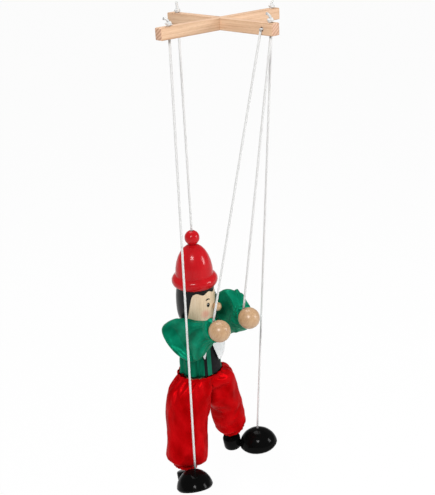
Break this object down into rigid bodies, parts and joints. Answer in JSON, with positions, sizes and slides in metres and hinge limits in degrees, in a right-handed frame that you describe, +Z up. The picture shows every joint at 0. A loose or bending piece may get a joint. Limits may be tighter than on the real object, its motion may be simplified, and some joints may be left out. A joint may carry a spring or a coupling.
{
  "type": "string puppet",
  "caption": "Wooden string puppet with a turned head, capped, in satin jacket and trousers, hung by cords from a crossed wooden control and jointed with wire eyes.",
  "frame": {"origin": "middle of the control's top face, where its two bars cross", "axes": "+Z up, the figure looks along -Y, its left hand is at +X"},
  "size_m": [0.1399, 0.1386, 0.4599],
  "materials": {
    "pine": "bare sanded pine strip with straight grain",
    "beech": "turned beech under clear varnish",
    "red_gloss_paint": "turned wood in glossy red paint",
    "black_gloss_paint": "turned wood in glossy black paint",
    "striped_cloth": "vest cloth with black and green stripes",
    "green_satin": "green polyester satin",
    "red_satin": "red polyester satin",
    "white_cotton": "white cotton",
    "white_cord": "white braided cord",
    "steel_wire": "bent steel wire"
  },
  "bodies": {
    "control": {"cross_bar": "pine", "spine_bar": "pine", "head_knot": "white_cord", "left_hand_knot": "white_cord", "right_hand_knot": "white_cord", "left_foot_knot": "white_cord", "right_foot_knot": "white_cord"},
    "head_cord": {"head_string": "white_cord"},
    "left_hand_cord": {"left_hand_string": "white_cord"},
    "right_hand_cord": {"right_hand_string": "white_cord"},
    "left_foot_cord": {"left_foot_string": "white_cord"},
    "right_foot_cord": {"right_foot_string": "white_cord"},
    "torso": {"torso_block": "beech", "neck_eye": "steel_wire", "right_shoulder_eye": "steel_wire", "left_shoulder_eye": "steel_wire", "right_hip_eye": "steel_wire", "left_hip_eye": "steel_wire", "jacket": "green_satin", "vest": "striped_cloth", "collar": "white_cotton", "trouser_seat": "red_satin"},
    "head": {"head": "beech", "head_eye": "steel_wire", "cap": "red_gloss_paint", "cap_knob": "red_gloss_paint", "nose": "beech"},
    "right_arm": {"right_arm_dowel": "beech", "right_arm_eye": "steel_wire", "right_hand": "beech", "right_sleeve": "green_satin"},
    "left_arm": {"left_arm_dowel": "beech", "left_arm_eye": "steel_wire", "left_hand": "beech", "left_sleeve": "green_satin"},
    "right_leg": {"right_leg_dowel": "beech", "right_leg_eye": "steel_wire", "right_ankle_eye": "steel_wire", "right_trouser_leg": "red_satin"},
    "left_leg": {"left_leg_dowel": "beech", "left_leg_eye": "steel_wire", "left_ankle_eye": "steel_wire", "left_trouser_leg": "red_satin"},
    "right_foot": {"right_heel": "black_gloss_paint", "right_heel_eye": "steel_wire", "right_toe": "black_gloss_paint"},
    "left_foot": {"left_heel": "black_gloss_paint", "left_heel_eye": "steel_wire", "left_toe": "black_gloss_paint"}
  },
  "joints": [
    {"name": "figure_swing", "type": "hinge", "parent": "control", "child": "head_cord", "pos_m": [0, 0.0534, -0.0087], "axis": [0, 1, 0], "range_deg": [-8, 8]},
    {"name": "figure_level", "type": "hinge", "parent": "head_cord", "child": "torso", "pos_m": [0, 0.0534, -0.1933], "axis": [0, 1, 0], "range_deg": [-8, 8]},
    {"name": "right_hand_cord_swing", "type": "hinge", "parent": "control", "child": "right_hand_cord", "pos_m": [-0.0053, -0.0514, -0.0061], "axis": [0, 1, 0], "range_deg": [-6, 6]},
    {"name": "left_hand_cord_swing", "type": "hinge", "parent": "control", "child": "left_hand_cord", "pos_m": [0, -0.057, -0.0087], "axis": [0, 1, 0], "range_deg": [-6, 6]},
    {"name": "right_foot_cord_swing", "type": "hinge", "parent": "control", "child": "right_foot_cord", "pos_m": [-0.052, 0, -0.0087], "axis": [0, 1, 0], "range_deg": [-4, 4]},
    {"name": "left_foot_cord_swing", "type": "hinge", "parent": "control", "child": "left_foot_cord", "pos_m": [0.057, 0, -0.0087], "axis": [0, 1, 0], "range_deg": [-4, 4]},
    {"name": "head_turn", "type": "hinge", "parent": "torso", "child": "head", "pos_m": [0, 0.0534, -0.2856], "axis": [0, 0, 1], "range_deg": [-54, 6]},
    {"name": "right_arm_lift", "type": "hinge", "parent": "torso", "child": "right_arm", "pos_m": [-0.024, 0.0534, -0.3013], "axis": [-1, 0, 0], "range_deg": [0, 32], "deforming": ["right_sleeve", "right_hand_string"]},
    {"name": "left_arm_lift", "type": "hinge", "parent": "torso", "child": "left_arm", "pos_m": [0.024, 0.0534, -0.3013], "axis": [-1, 0, 0], "range_deg": [0, 32], "deforming": ["left_sleeve", "left_hand_string"]},
    {"name": "right_leg_lift", "type": "hinge", "parent": "torso", "child": "right_leg", "pos_m": [-0.011, 0.0534, -0.3535], "axis": [-1, 0, 0], "range_deg": [0, 40], "deforming": ["right_trouser_leg", "right_foot_string"]},
    {"name": "left_leg_lift", "type": "hinge", "parent": "torso", "child": "left_leg", "pos_m": [0.011, 0.0534, -0.3535], "axis": [-1, 0, 0], "range_deg": [0, 40], "deforming": ["left_trouser_leg", "left_foot_string"]},
    {"name": "right_ankle", "type": "hinge", "parent": "right_leg", "child": "right_foot", "pos_m": [-0.02756, 0.0534, -0.43207], "axis": [-0.9298, 0.3681, 0], "range_deg": [0, 16]},
    {"name": "left_ankle", "type": "hinge", "parent": "left_leg", "child": "left_foot", "pos_m": [0.03915, 0.06012, -0.4284], "axis": [-0.7387, -0.6624, -0.1246], "range_deg": [0, 16]}
  ],
  "couplings": [
    {"joint": "figure_level", "follows": "figure_swing", "ratio": -1},
    {"joint": "right_hand_cord_swing", "follows": "figure_swing", "ratio": 0.7147},
    {"joint": "left_hand_cord_swing", "follows": "figure_swing", "ratio": 0.7229},
    {"joint": "right_foot_cord_swing", "follows": "figure_swing", "ratio": 0.4442},
    {"joint": "left_foot_cord_swing", "follows": "figure_swing", "ratio": 0.4437},
    {"joint": "right_ankle", "follows": "right_leg_lift", "ratio": 0.4},
    {"joint": "left_ankle", "follows": "left_leg_lift", "ratio": 0.4}
  ]
}
